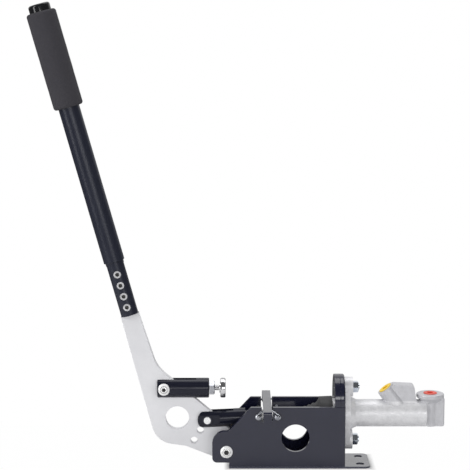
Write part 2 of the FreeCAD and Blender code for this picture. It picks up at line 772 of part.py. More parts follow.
def lever_blade():
    """Plate arm from the pivot's hub up into the handle's socket."""
    half = BLADE_T / 2
    heel_side = lever_point(SOCKET_START, -SOCKET_R)
    throat_side = lever_point(SOCKET_START, SOCKET_R)
    lower = tangent_point(KINK, HUB_R, 1)
    upper = tangent_point(SHOULDER, HUB_R, -1)

    def here(place, radius=0):
        return PIVOT_X + place[0], PIVOT_Z + place[1], radius

    corners = [
        (heel_side.x, heel_side.z, 0),
        here(HEEL, HEEL_R),
        here(KINK, KINK_R),
        here(lower),
        here(upper),
        here(SHOULDER, SHOULDER_R),
        here(THROAT, THROAT_R),
        (throat_side.x, throat_side.z, 0),
    ]
    blade = plate_xz(corners, -half, half)
    blade = blade.fuse(across(HUB_R, PIVOT_X, PIVOT_Z, -half, half)).removeSplitter()
    faces = [e for e in blade.Edges if e.BoundBox.YLength < 1e-6]
    blade = blade.makeChamfer(EDGE_CHAMFER, faces)
    tang_root = SOCKET_START - TANG_OVERLAP
    tang_end = TUBE_START - SLOT_FLOOR - TANG_END_GAP
    tang = box(V(tang_root, -half, -TANG_W / 2), V(tang_end, half, TANG_W / 2))
    blade = blade.fuse(on_lever(tang))
    for x in screw_places():
        blade = blade.cut(on_lever(cylinder(SCREW_R + SLIP, V(x, -half - 1, 0), V(x, half + 1, 0))))
    blade = blade.cut(blade_hole(BUSHING_R + RUNNING / 2, (0, 0)))
    blade = blade.cut(blade_hole(BLADE_HOLE_R, BLADE_HOLE))
    blade = blade.cut(blade_hole(PIN_R + RUNNING, PIN))
    for place in SPARE_HOLES:
        blade = blade.cut(blade_hole(PIN_R + RUNNING, place))
    return blade.cut(blade_hole(CLAMP_R + RUNNING, (CLAMP_X, STOP_Z)))


def screw_places():
    return [SOCKET_START + SCREW_FIRST + SCREW_PITCH * i for i in range(SCREW_COUNT)]


def blade_socket():
    """Turned bar that grips the blade's tang and plugs into the tube."""
    bar = cylinder(SOCKET_R, V(SOCKET_START, 0, 0), V(TUBE_START, 0, 0))
    spigot_end = V(TUBE_START + SOCKET_SPIGOT, 0, 0)
    bar = bar.fuse(cylinder(TUBE_R - TUBE_WALL - RUNNING, V(TUBE_START, 0, 0), spigot_end)).removeSplitter()
    slot_half = BLADE_T / 2 + SLIP
    slot_end = TUBE_START - SLOT_FLOOR
    slot = box(V(SOCKET_START - 1, -slot_half, -SOCKET_R - 1), V(slot_end, slot_half, SOCKET_R + 1))
    bar = bar.cut(slot)
    for x in screw_places():
        bar = bar.cut(cylinder(SCREW_R + RUNNING, V(x, -SOCKET_R - 1, 0), V(x, SOCKET_R + 1, 0)))
        head_floor = -SOCKET_R + SCREW_SINK + SCREW_HEAD_H
        bar = bar.cut(cylinder(SCREW_HEAD_R + SLIP, V(x, -SOCKET_R - 1, 0), V(x, head_floor, 0)))
    return on_lever(bar)


def socket_screws():
    """Cap screws sunk into the socket."""
    screws = []
    for x in screw_places():
        top = V(x, -SOCKET_R + SCREW_SINK, 0)
        seat = top + Y * SCREW_HEAD_H
        head = cylinder(SCREW_HEAD_R, top, seat)
        shank = cylinder(SCREW_R, seat, V(x, SOCKET_R - SCREW_END_GAP, 0))
        socket = hexagon(SCREW_SOCKET_AF, top - Y, top + Y * SCREW_SOCKET_DEPTH)
        screws.append(on_lever(head.fuse(shank).removeSplitter().cut(socket)))
    return Part.makeCompound(screws)


def handle_tube():
    tube = cylinder(TUBE_R, V(TUBE_START, 0, 0), V(TUBE_END, 0, 0))
    ends = [e for e in tube.Edges if e.BoundBox.XLength < 1e-6]
    tube = tube.makeChamfer(EDGE_CHAMFER, ends)
    return on_lever(tube.cut(cylinder(TUBE_R - TUBE_WALL, V(TUBE_START - 1, 0, 0), V(TUBE_END + 1, 0, 0))))


def foam_grip():
    start = TUBE_END - GRIP_LENGTH
    grip = cylinder(GRIP_R, V(start, 0, 0), V(TUBE_END, 0, 0))
    ends = [e for e in grip.Edges if e.BoundBox.XLength < 1e-6]
    grip = grip.makeFillet(GRIP_EDGE_R, ends)
    return on_lever(grip.cut(cylinder(TUBE_R + RUNNING, V(start - 1, 0, 0), V(TUBE_END + 1, 0, 0))))


def end_cap():
    """Rounded cap with a stem inside the tube."""
    head = cylinder(CAP_R, V(TUBE_END, 0, 0), V(TUBE_END + CAP_H, 0, 0))
    rim = [e for e in head.Edges if e.BoundBox.XMin > TUBE_END + CAP_H - 0.1]
    head = head.makeFillet(CAP_EDGE_R, rim)
    stem = cylinder(TUBE_R - TUBE_WALL - RUNNING, V(TUBE_END - CAP_STEM, 0, 0), V(TUBE_END, 0, 0))
    return on_lever(head.fuse(stem).removeSplitter())


def stop_block():
    """Round bar slotted over the blade, with a threaded end for the stop screw."""
    x0 = PIVOT_X + STOP_LEFT
    x1 = x0 + STOP_LENGTH
    z = PIVOT_Z + STOP_Z
    bar = along(STOP_R, x0, x1, 0, z)
    rims = [e for e in bar.Edges if e.BoundBox.XLength < 1e-6]
    bar = bar.makeFillet(STOP_EDGE_R, rims)
    slot_half = BLADE_T / 2 + SLIP
    low = V(x0 - 1, -slot_half, z - STOP_R - 1)
    bar = bar.cut(box(low, V(PIVOT_X + STOP_SLOT_END, slot_half, z + STOP_R + 1)))
    bar = bar.cut(along(STUD_R + RUNNING, PIVOT_X + STOP_SLOT_END - STUD_HOLE_DEPTH, x1 + 1, 0, z))
    cx = PIVOT_X + CLAMP_X
    bar = bar.cut(across(CLAMP_R + RUNNING, cx, z, -STOP_R - 1, STOP_R + 1))
    for side in (-1, 1):
        low, high = sorted((side * CLAMP_SEAT_Y, side * (STOP_R + 1)))
        bar = bar.cut(across(CLAMP_HEAD_R + SLIP, cx, z, low, high))
    return bar


def stop_block_screw():
    x = PIVOT_X + CLAMP_X
    z = PIVOT_Z + STOP_Z
    tip = V(x, CLAMP_SEAT_Y + CLAMP_NUT_H + CLAMP_END, z)
    seat = V(x, -CLAMP_SEAT_Y, z)
    return button_screw(CLAMP_R, CLAMP_HEAD_R, CLAMP_HEAD_H, seat, tip, CLAMP_SOCKET_AF)


def stop_block_nut():
    start = V(PIVOT_X + CLAMP_X, CLAMP_SEAT_Y, PIVOT_Z + STOP_Z)
    return nut(CLAMP_NUT_AF, CLAMP_R + RUNNING, start, start + Y * CLAMP_NUT_H)


def stop_screw():
    """Threaded stud with a round striking head."""
    z = PIVOT_Z + STOP_Z
    left = LOCK_NUT_X + LOCK_NUT_H + DISC_GAP
    stud = along(STUD_R, PIVOT_X + STOP_SLOT_END - STUD_START, left, 0, z)
    head = along(DISC_R, left, left + DISC_T, 0, z)
    rims = [e for e in head.Edges if e.BoundBox.XLength < 1e-6]
    return stud.fuse(head.makeChamfer(EDGE_CHAMFER, rims)).removeSplitter()


def stop_lock_nut():
    z = PIVOT_Z + STOP_Z
    start = V(LOCK_NUT_X, 0, z)
    return nut(LOCK_NUT_AF, STUD_R + RUNNING, start, start + X * LOCK_NUT_H, LOCK_NUT_TURN)


def clevis_link():
    """Round bar forked over the blade, notched on top for the lock bar."""
    bar = along(CLEVIS_R, -CLEVIS_BACK, CLEVIS_LENGTH, 0, 0)
    side = [
        (-CLEVIS_BACK, -CLEVIS_R - 0.01, CLEVIS_END_R),
        (CLEVIS_LENGTH + 1, -CLEVIS_R - 0.01, 0),
        (CLEVIS_LENGTH + 1, CLEVIS_R + 0.01, 0),
        (-CLEVIS_BACK, CLEVIS_R + 0.01, CLEVIS_END_R),
    ]
    bar = bar.common(plate_xz(side, -CLEVIS_R - 1, CLEVIS_R + 1))
    slot_half = BLADE_T / 2 + SIDE_PLAY
    fork = V(-CLEVIS_BACK - 1, -slot_half, -CLEVIS_R - 1)
    bar = bar.cut(box(fork, V(CLEVIS_SLOT_END, slot_half, CLEVIS_R + 1)))
    for sign in (-1, 1):
        low, high = sorted((sign * CLEVIS_FLAT_Y, sign * (CLEVIS_R + 1)))
        flat = box(V(-CLEVIS_BACK - 1, low, -CLEVIS_R - 1), V(CLEVIS_FLAT_END, high, CLEVIS_R + 1))
        bar = bar.cut(flat)
    bar = bar.cut(across(PIN_R + RUNNING, 0, 0, -CLEVIS_R - 1, CLEVIS_R + 1))
    bar = bar.cut(along(ROD_R + RUNNING, CLEVIS_LENGTH - ROD_THREAD, CLEVIS_LENGTH + 1, 0, 0))
    low = V(LOCK_NOTCH_REACH - LOCK_NOTCH_W / 2, -CLEVIS_R - 1, CLEVIS_R - LOCK_NOTCH_DEPTH)
    notch = box(low, low + V(LOCK_NOTCH_W, 2 * CLEVIS_R + 2, LOCK_NOTCH_DEPTH + 1))
    return on_link(bar.cut(notch))


def link_pin():
    return across(PIN_R, PIN_X, PIN_Z, -PIN_HALF, PIN_HALF)


def link_pin_clips():
    """Spring clips on the pin, one outside each cheek."""
    clips = []
    for side in (-1, 1):
        low, high = sorted((side * (CLEVIS_FLAT_Y + SLIP), side * (CLEVIS_FLAT_Y + SLIP + CLIP_T)))
        ring = across(CLIP_R, PIN_X, PIN_Z, low, high)
        clips.append(ring.cut(across(PIN_R, PIN_X, PIN_Z, low - 1, high + 1)))
    return Part.makeCompound(clips)


def push_rod():
    """Rod from the clevis to a ball end in the piston's pocket."""
    rod = along(ROD_R, CLEVIS_LENGTH - ROD_THREAD + 1, ROD_LENGTH - ROD_TIP_R, 0, 0)
    neck = along(ROD_NECK_R, ROD_LENGTH - ROD_TIP_R, ROD_LENGTH, 0, 0)
    ball = Part.makeSphere(ROD_TIP_R, V(ROD_LENGTH, 0, 0))
    return on_link(rod.fuse(neck).fuse(ball).removeSplitter())


def push_rod_nut():
    start = V(CLEVIS_LENGTH, 0, 0)
    return on_link(nut(ROD_NUT_AF, ROD_R + RUNNING, start, start + X * ROD_NUT_H))


def lock_bar():
    """Strap across both slots, its ends bent down."""
    inner = LOCK_HALF - LOCK_T
    under = LOCK_TOP_Z - LOCK_T
    corners = [
        (-LOCK_HALF, LOCK_TAB_Z, 0),
        (-LOCK_HALF, LOCK_TOP_Z, LOCK_BEND_R),
        (LOCK_HALF, LOCK_TOP_Z, LOCK_BEND_R),
        (LOCK_HALF, LOCK_TAB_Z, 0),
        (inner, LOCK_TAB_Z, 0),
        (inner, under, LOCK_BEND_R - LOCK_T),
        (-inner, under, LOCK_BEND_R - LOCK_T),
        (-inner, LOCK_TAB_Z, 0),
    ]
    return plate_yz(corners, LOCK_X - LOCK_W / 2, LOCK_X + LOCK_W / 2)


def spring_y(side):
    return side * (BASE_WIDTH / 2 + LOCK_WIRE_R + SLIP)


def lock_springs():
    """Arched wires that hold the lock bar up, with an eye at each end."""
    crest = LOCK_TOP_Z - LOCK_T - LOCK_WIRE_R - SLIP
    springs = []
    for side in (-1, 1):
        y = spring_y(side)
        foot_z = LOCK_SPRING_Z + LOCK_EYE_R
        start, end = [V(LOCK_X + foot, y, foot_z) for foot in LOCK_SPRING_FEET]
        arch = Part.Arc(start, V(LOCK_X, y, crest), end).toShape()
        tangent = arch.tangentAt(arch.FirstParameter)
        section = Part.Wire(Part.makeCircle(LOCK_WIRE_R, start, tangent))
        wire = Part.Wire(arch).makePipeShell([section], True, True)
        for foot in LOCK_SPRING_FEET:
            eye = Part.makeTorus(LOCK_EYE_R, LOCK_WIRE_R, V(LOCK_X + foot, y, LOCK_SPRING_Z), Y)
            wire = wire.fuse(eye)
        springs.append(wire)
    return Part.makeCompound(springs)


def spring_screws():
    screws = []
    for side in (-1, 1):
        for foot in LOCK_SPRING_FEET:
            seat = V(LOCK_X + foot, side * (BASE_WIDTH / 2 + 2 * (LOCK_WIRE_R + SLIP)), LOCK_SPRING_Z)
            tip = V(LOCK_X + foot, side * INNER_HALF, LOCK_SPRING_Z)
            screw = button_screw(
                SPRING_SCREW_R, SPRING_SCREW_HEAD_R, SPRING_SCREW_HEAD_H, seat, tip, SPRING_SOCKET_AF)
            screws.append(screw)
    return Part.makeCompound(screws)


SUB_PARTS = {
    "near_side_plate": lambda: side_plate(-1),
    "far_side_plate": lambda: side_plate(1),
    "floor_plate": floor_plate,
    "end_plate": end_plate,
    "adapter_plate": adapter_plate,
    "cylinder_body": cylinder_body,
    "inlet_plug": inlet_plug,
    "outlet_plug": outlet_plug,
    "flange_bolts": flange_bolts,
    "flange_nuts": flange_nuts,
    "stop_washer": stop_washer,
    "retaining_ring": retaining_ring,
    "piston": piston,
    "piston_seals": piston_seals,
    "return_spring": return_spring,
    "dust_boot": dust_boot,
    "pivot_bolt": pivot_bolt,
    "pivot_nut": pivot_nut,
    "pivot_sleeve": pivot_sleeve,
    "pivot_spacers": pivot_spacers,
    "pivot_bushing": pivot_bushing,
    "lever_blade": lever_blade,
    "blade_socket": blade_socket,
    "socket_screws": socket_screws,
    "handle_tube": handle_tube,
    "foam_grip": foam_grip,
    "end_cap": end_cap,
    "stop_block": stop_block,
    "stop_block_screw": stop_block_screw,
    "stop_block_nut": stop_block_nut,
    "stop_screw": stop_screw,
    "stop_lock_nut": stop_lock_nut,
    "clevis_link": clevis_link,
    "link_pin": link_pin,
    "link_pin_clips": link_pin_clips,
    "push_rod": push_rod,
    "push_rod_nut": push_rod_nut,
    "lock_bar": lock_bar,
    "lock_springs": lock_springs,
    "spring_screws": spring_screws,
}


def main():
    os.makedirs("parts", exist_ok=True)
    for name, make in SUB_PARTS.items():
        shape = make()
        solids = shape.Solids
        sound = shape.isValid() and solids and all(solid.Volume > 0 for solid in solids)
        print(f"{name}: {len(solids)} solids, {shape.Volume:.1f} mm3, {'sound' if sound else 'NOT SOUND'}")
        shape.exportStep(f"parts/{name}.step")


main()
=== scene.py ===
import json
import math

import bmesh
import bpy
from mathutils import Matrix, Vector, noise

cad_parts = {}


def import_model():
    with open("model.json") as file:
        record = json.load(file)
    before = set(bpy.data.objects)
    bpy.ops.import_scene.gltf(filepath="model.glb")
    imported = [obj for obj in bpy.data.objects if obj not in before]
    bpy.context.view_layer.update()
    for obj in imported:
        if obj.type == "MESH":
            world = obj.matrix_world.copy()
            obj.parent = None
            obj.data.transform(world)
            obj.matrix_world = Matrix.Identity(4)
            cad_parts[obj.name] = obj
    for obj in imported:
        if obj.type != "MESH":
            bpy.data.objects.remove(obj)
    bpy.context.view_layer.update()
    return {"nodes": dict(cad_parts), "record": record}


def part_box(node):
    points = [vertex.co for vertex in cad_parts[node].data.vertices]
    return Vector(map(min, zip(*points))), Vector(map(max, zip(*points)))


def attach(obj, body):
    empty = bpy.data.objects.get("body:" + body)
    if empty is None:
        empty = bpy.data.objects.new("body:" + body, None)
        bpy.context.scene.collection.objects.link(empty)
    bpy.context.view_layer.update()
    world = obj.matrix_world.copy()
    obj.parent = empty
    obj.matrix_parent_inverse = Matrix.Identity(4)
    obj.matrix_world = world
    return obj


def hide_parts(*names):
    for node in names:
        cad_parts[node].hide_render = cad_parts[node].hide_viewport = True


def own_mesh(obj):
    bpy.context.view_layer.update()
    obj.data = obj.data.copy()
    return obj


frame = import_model()
BODY_OF = {node: body for body, nodes in frame["record"]["behaviour"]["bodies"].items() for node in nodes}

# All lengths are metres. Camera: a long lens level with the middle of the lever, looking slightly down
LOOK_AT = Vector((-0.1162, 0.0, 0.2456))
CAMERA_DISTANCE = 1.575
CAMERA_PITCH = math.radians(8.0)
CAMERA_REACH = 20.0
FOCAL_PIXELS = 1500.0
FRAME_PIXELS = 470
SENSOR_WIDTH = 36.0

# Lamps: place, aim, width and height, power
LAMPS = {
    "top_light": ((-0.05, 0.35, 1.6), (-0.1, 0.0, 0.1), (1.5, 0.9), 9.0),
    "left_light": ((-1.3, -0.75, 0.6), (-0.15, 0.0, 0.2), (0.35, 1.5), 8.0),
    "front_light": ((0.35, -2.3, 0.45), (-0.1, 0.0, 0.15), (1.3, 0.5), 9.0),
}

# Room: the light that fills in. Reflections see white behind the object and above the ground, else a dim
# room; white sets in between these two values of the direction's Y and of its Z
ROOM_LIGHT = 0.85
ROOM_DIM = 0.13
WHITE_BEHIND = (0.2, 0.80)
WHITE_ABOVE = (-0.02, 0.11)

# Floor: the share of white that is its own, away from the base and under it, and the way from one to the
# other. It ends close behind the object, so that upright faces reflect the dim room there
FLOOR_WHITE = 0.99
FLOOR_WHITE_UNDER = 0.1
SHADE_REACH = 0.006
FLOOR_HALF = 0.7
FLOOR_BACK = 0.15
FLOOR_GREY = 0.66

# The handle's axis: its lean, its upward direction and a point on it
LEVER_LEAN = math.radians(15.65)
UP_LEVER = Vector((-math.sin(LEVER_LEAN), 0.0, math.cos(LEVER_LEAN)))
TUBE_LOW, TUBE_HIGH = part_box("handle_tube")
AXIS_FOOT = (Vector(TUBE_LOW) + Vector(TUBE_HIGH)) / 2

# The blade's tang, which the socket hides but for two hairlines, is painted black above this height:
# painted shade for the gaps between tang and socket
PIVOT = Vector((-0.1252, 0.0, 0.0181))
TANG_START = PIVOT.dot(UP_LEVER) + 0.165
TANG_SHADE_BLEND = 0.0002

# Cylinder: the ports above the body's round top and the block at its closed end are coloured darker, as
# painted shade; with the width over which each change takes place
PORT_Z = 0.0692
PORT_X = 0.02
PORT_BLEND = 0.001
END_BLOCK_X = 0.0885
END_BLOCK_BLEND = 0.0005

# Copies of the solids: points nearer than this are one, faces flatter than this are one, and edges
# sharper than this are rounded or stay hard
WELD = 0.000002
FLAT_ANGLE = math.radians(0.3)
EDGE_ANGLE = math.radians(32)
EDGE_STEPS = 2
FLAT_WEIGHT = 90

# Screw heads: the part of the head's radius that holds the hexagon socket, and how deep its floor lies
SOCKET_HEADS = ("pivot_bolt", "socket_screws", "stop_block_screw")
SOCKET_SHARE = 0.62
SOCKET_DEPTH = 0.0004

# Stop screw: stud, the collar between stud and wheel, and the knurled wheel
STUD_R = 0.003
STUD_PITCH = 0.001
STUD_LAP = 0.0003
THREAD_DEPTH = 0.6
THREAD_STEPS = 28
COLLAR_R = 0.0052
COLLAR_T = 0.0012
COLLAR_SINK = 0.0005
WHEEL_T = 0.0051
KNURL_TEETH = 44
KNURL_ROWS = 5
KNURL_DEPTH = 0.00035
RIM_DEPTH = KNURL_DEPTH * 1.4
FACE_RIM = 0.0006
FACE_STEP = 0.0002
SCREW_ANGLE = math.radians(38)

# Foam grip: only the skin beyond this radius is uneven; each wave has a frequency and a height
GRIP_SKIN_R = 0.0125
GRIP_LONG_EDGE = 0.03
GRIP_CUTS = 40
GRIP_WAVES = ((90, 0.00012), (420, 0.00005))
GRIP_INSET = 0.00017
GRIP_ANGLE = math.radians(50)

# Edge rounding of each node's copy; 0 keeps the solid's own edges
EDGE_ROUNDING = {
    "near_side_plate": 0.0004, "far_side_plate": 0.0004, "floor_plate": 0.0003, "end_plate": 0.0004,
    "adapter_plate": 0.0003, "lock_bar": 0.0003, "cylinder_body": 0.0003, "inlet_plug": 0.0002,
    "outlet_plug": 0.0002, "flange_bolts": 0.0002, "flange_nuts": 0.0002, "dust_boot": 0.0002,
    "pivot_bolt": 0.0001, "pivot_nut": 0.0002, "pivot_spacers": 0.0002, "pivot_bushing": 0.0002,
    "pivot_sleeve": 0.0, "lever_blade": 0.0, "blade_socket": 0.0002, "socket_screws": 0.0002,
    "handle_tube": 0.0, "end_cap": 0.0, "stop_block": 0.0002, "stop_block_screw": 0.0001,
    "stop_block_nut": 0.0002, "stop_lock_nut": 0.0002, "clevis_link": 0.0003,
    "link_pin": 0.0003, "link_pin_clips": 0.0001, "push_rod": 0.0, "push_rod_nut": 0.0002,
    "lock_springs": 0.0, "spring_screws": 0.0001, "return_spring": 0.0,
}

# Pieces meant to give way, which here only get meshes of their own: the joint that presses them, the
# direction, the travel, and the end that stays
PISTON_TRAVEL = 0.018
LOCK_BAR_TRAVEL = 0.0048
LOCK_SPRING_FEET_Z = 0.056
GIVES_WAY = {
    "return_spring": ("piston_push", (1, 0, 0), PISTON_TRAVEL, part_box("return_spring")[1][0]),
    "dust_boot": ("piston_push", (1, 0, 0), PISTON_TRAVEL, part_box("dust_boot")[1][0]),
    "lock_springs": ("lock_bar_press", (0, 0, 1), LOCK_BAR_TRAVEL, LOCK_SPRING_FEET_Z),
}


# Node building

class Nodes:
    """Shader nodes of one tree, made and linked in a line each."""

    def __init__(self, tree):
        self.tree = tree

    def node(self, kind, **settings):
        made = self.tree.nodes.new(kind)
        for name, value in settings.items():
            setattr(made, name, value)
        return made

    def link(self, source, target):
        self.tree.links.new(source, target)

    def split(self, source):
        """The X, Y and Z of a place or direction."""
        made = self.node("ShaderNodeSeparateXYZ")
        self.link(source, made.inputs[0])
        return made.outputs["X"], made.outputs["Y"], made.outputs["Z"]

    def math(self, operation, *values):
        """Result of an operation on sockets and plain numbers."""
        made = self.node("ShaderNodeMath", operation=operation)
        for socket, value in zip(made.inputs, values):
            if isinstance(value, bpy.types.NodeSocket):
                self.link(value, socket)
            else:
                socket.default_value = value
        return made.outputs[0]

    def between(self, source, low, high, start=0.3, end=0.7, curve="LINEAR"):
        """Numbers from low to high as the source goes from start to end."""
        made = self.node("ShaderNodeMapRange", interpolation_type=curve)
        made.inputs["From Min"].default_value = start
        made.inputs["From Max"].default_value = end
        made.inputs["To Min"].default_value = low
        made.inputs["To Max"].default_value = high
        self.link(source, made.inputs["Value"])
        return made.outputs["Result"]

    def mixed_shader(self, share, first, second):
        """First shader where the share is 0, second where it is 1."""
        made = self.node("ShaderNodeMixShader")
        for socket, source in zip(made.inputs, (share, first, second)):
            self.link(source, socket)
        return made.outputs[0]


class Surface(Nodes):
    """A material under construction; its pattern reads Object coordinates."""

    def __init__(self, name):
        self.material = bpy.data.materials.new(name)
        self.material.use_nodes = True
        super().__init__(self.material.node_tree)
        self.shader = self.tree.nodes["Principled BSDF"]
        self.place = self.node("ShaderNodeTexCoord").outputs["Object"]

    def set(self, **values):
        for name, value in values.items():
            self.shader.inputs[name.replace("_", " ")].default_value = value
        return self

    def stretched(self, scale):
        """Object coordinates scaled by axis, for grain that runs one way."""
        mapping = self.node("ShaderNodeMapping")
        mapping.inputs["Scale"].default_value = scale
        self.link(self.place, mapping.inputs["Vector"])
        return mapping.outputs["Vector"]

    def noise(self, scale, detail=3.0, rough=0.55, vector=None):
        made = self.node("ShaderNodeTexNoise")
        made.inputs["Scale"].default_value = scale
        made.inputs["Detail"].default_value = detail
        made.inputs["Roughness"].default_value = rough
        self.link(vector or self.place, made.inputs["Vector"])
        return made.outputs["Fac"]

    def cells(self, scale):
        made = self.node("ShaderNodeTexVoronoi")
        made.inputs["Scale"].default_value = scale
        self.link(self.place, made.inputs["Vector"])
        return made.outputs["Distance"]

    def ramp(self, source, low, high, start=0.3, end=0.7):
        """Colours from low to high as the source goes from start to end."""
        made = self.node("ShaderNodeValToRGB")
        for element, place, colour in zip(made.color_ramp.elements, (start, end), (low, high)):
            element.position = place
            element.color = (*colour, 1.0)
        self.link(source, made.inputs["Fac"])
        return made.outputs["Color"]

    def mixed(self, share, first, second):
        """First colour where the share is 0, second where it is 1."""
        made = self.node("ShaderNodeMix", data_type="RGBA")
        self.link(share, made.inputs[0])
        self.link(first, made.inputs[6])
        self.link(second, made.inputs[7])
        return made.outputs[2]

    def add(self, first, second, weight):
        """First pattern plus the second one by its weight."""
        return self.math("MULTIPLY_ADD", second, weight, first)

    def colour(self, source):
        self.link(source, self.shader.inputs["Base Color"])

    def roughness(self, source):
        self.link(source, self.shader.inputs["Roughness"])

    def bump(self, source, height, strength):
        """Relief of a height in metres."""
        made = self.node("ShaderNodeBump")
        made.inputs["Strength"].default_value = strength
        made.inputs["Distance"].default_value = height
        self.link(source, made.inputs["Height"])
        self.link(made.outputs["Normal"], self.shader.inputs["Normal"])
        return self


# Finishes

def powder_coat(name, coat, low, high):
    """Satin black paint over steel, with a fine orange peel."""
    s = Surface(name).set(Metallic=0.0, IOR=1.52, Coat_Weight=coat, Coat_Roughness=0.08)
    s.colour(s.ramp(s.noise(30, 4), low, high))
    s.roughness(s.between(s.noise(140, 5), 0.16, 0.26))
    return s.bump(s.noise(1400, 2), 0.00004, 0.4).material


def cast_metal():
    """Cast aluminium: faintly mottled, with fine grain; darker at the ports and the end block as painted
    shade.
    """
    s = Surface("cast_aluminium").set(Metallic=0.35)
    mottle = s.add(s.noise(170, 6, 0.65), s.noise(620, 3), 0.4)
    x, _, z = s.split(s.place)
    port = s.math("MULTIPLY", s.between(z, 0.0, 1.0, PORT_Z - PORT_BLEND, PORT_Z),
                  s.between(x, 0.0, 1.0, PORT_X, PORT_X + PORT_BLEND))
    # Painted shade: the ports and the end block take the darker colour
    smooth = s.math("MAXIMUM", port, s.between(x, 0.0, 1.0, END_BLOCK_X, END_BLOCK_X + END_BLOCK_BLEND))
    s.colour(s.mixed(smooth, s.ramp(mottle, (0.66, 0.66, 0.68), (0.84, 0.84, 0.86), 0.45, 0.95),
                     s.ramp(mottle, (0.55, 0.55, 0.575), (0.63, 0.63, 0.66), 0.45, 0.95)))
    s.roughness(s.between(s.noise(300, 4), 0.34, 0.52))
    relief = s.add(s.noise(420, 5, 0.6), s.cells(700), 0.4)
    return s.bump(relief, 0.0004, 0.6).material


def blasted_metal():
    """Pale bead-blasted aluminium plate, painted black from the tang's start upwards as painted shade in
    the socket's gaps.
    """
    s = Surface("blasted_aluminium").set(Metallic=0.40)
    along = s.node("ShaderNodeVectorMath", operation="DOT_PRODUCT")
    along.inputs[1].default_value = UP_LEVER
    s.link(s.place, along.inputs[0])
    # Painted shade: the tang is coloured black where it sits in the socket's gaps
    painted_tang_shade = s.between(along.outputs["Value"], 0.0, 1.0, TANG_START - TANG_SHADE_BLEND, TANG_START)
    s.colour(s.mixed(painted_tang_shade, s.ramp(s.noise(26, 4), (0.76, 0.76, 0.785), (0.83, 0.83, 0.855)),
                     s.ramp(s.noise(300, 4), (0.014, 0.016, 0.029), (0.020, 0.023, 0.038))))
    s.roughness(s.between(s.noise(900, 3), 0.44, 0.58))
    return s.bump(s.noise(3200, 2), 0.00003, 0.5).material


def anodised(name, low, high, rough, grain):
    """Black anodised aluminium with turning marks along one axis."""
    s = Surface(name).set(Metallic=0.10, IOR=1.42)
    streaks = s.noise(1.0, 4, 0.6, s.stretched(grain))
    s.colour(s.ramp(streaks, low, high))
    s.roughness(s.between(streaks, rough - 0.05, rough + 0.05))
    return s.bump(streaks, 0.00002, 0.25).material


def bright_metal(name, low, high, rough, metal=1.0):
    """Plated steel hardware with faint scuffs."""
    s = Surface(name).set(Metallic=metal)
    s.colour(s.ramp(s.noise(260, 4), low, high))
    s.roughness(s.between(s.noise(700, 5), rough - 0.07, rough + 0.09))
    return s.bump(s.noise(2400, 3), 0.00002, 0.4).material


def foam_skin():
    """Closed-cell foam: matte, with open pores and a slightly dusty bloom."""
    s = Surface("closed_cell_foam")
    s.set(Metallic=0.0, Specular_IOR_Level=0.25, Sheen_Weight=0.02, Sheen_Roughness=0.5)
    grain = s.add(s.noise(1700, 5, 0.7), s.cells(2300), 0.8)
    s.colour(s.ramp(grain, (0.021, 0.0202, 0.0245), (0.050, 0.048, 0.056), 0.35, 1.0))
    s.roughness(s.between(s.noise(500, 3), 0.84, 0.96))
    return s.bump(grain, 0.00028, 0.7).material


def moulded(name, low, high, rough, grain=900, relief=0.00003):
    """Moulded plastic or rubber, and the painted shade in the screws' sockets."""
    s = Surface(name).set(Metallic=0.0)
    s.colour(s.ramp(s.noise(180, 4), low, high))
    s.roughness(s.between(s.noise(350, 4), rough - 0.05, rough + 0.06))
    return s.bump(s.noise(grain, 3), relief, 0.4).material


BLACK_PAINT = powder_coat("satin_black_paint", 0.6, (0.006, 0.007, 0.024), (0.010, 0.011, 0.030))
# Painted light: the floor plate is the same black paint, given a lighter colour for the light on its top
FOOT_PAINT_PAINTED_LIGHT = powder_coat("foot_paint_painted_light", 1.0, (0.026, 0.028, 0.052), (0.036, 0.039, 0.066))
CASTING = cast_metal()
BLADE_METAL = blasted_metal()
TUBE_BLACK = anodised("tube_anodising", (0.014, 0.016, 0.029), (0.020, 0.023, 0.038), 0.34, (900, 900, 30))
BAR_BLACK = anodised("bar_anodising", (0.008, 0.009, 0.018), (0.014, 0.015, 0.027), 0.20, (40, 900, 900))
ZINC = bright_metal("bright_zinc", (0.90, 0.90, 0.91), (0.96, 0.96, 0.96), 0.24, 0.15)
SCREW_ZINC = bright_metal("screw_zinc", (0.66, 0.66, 0.68), (0.80, 0.80, 0.82), 0.24, 0.45)
POLISHED_ZINC = bright_metal("polished_zinc", (0.74, 0.74, 0.76), (0.92, 0.92, 0.93), 0.15)
BLUE_ZINC = bright_metal("blue_zinc", (0.66, 0.72, 0.82), (0.84, 0.89, 0.95), 0.11)
STEEL = bright_metal("dull_steel", (0.36, 0.37, 0.41), (0.58, 0.59, 0.63), 0.20)
# Painted shade: the dark colour in the screws' hexagon sockets
SOCKET_SHADE = moulded("painted_socket_shade", (0.030, 0.030, 0.032), (0.080, 0.078, 0.076), 0.45)
WIRE = bright_metal("spring_wire", (0.55, 0.55, 0.55), (0.72, 0.72, 0.72), 0.26)
BRONZE = bright_metal("bushing_bronze", (0.42, 0.27, 0.12), (0.56, 0.38, 0.18), 0.42)
FOAM = foam_skin()
GLOSS_BLACK = moulded("gloss_black_plastic", (0.006, 0.006, 0.008), (0.010, 0.010, 0.012), 0.12)
RUBBER = moulded("boot_rubber", (0.030, 0.030, 0.032), (0.052, 0.052, 0.055), 0.62, 600, 0.00008)
YELLOW = moulded("yellow_plastic", (0.80, 0.52, 0.015), (0.90, 0.63, 0.03), 0.42)
RED = moulded("red_plastic", (0.66, 0.060, 0.035), (0.78, 0.095, 0.06), 0.42)

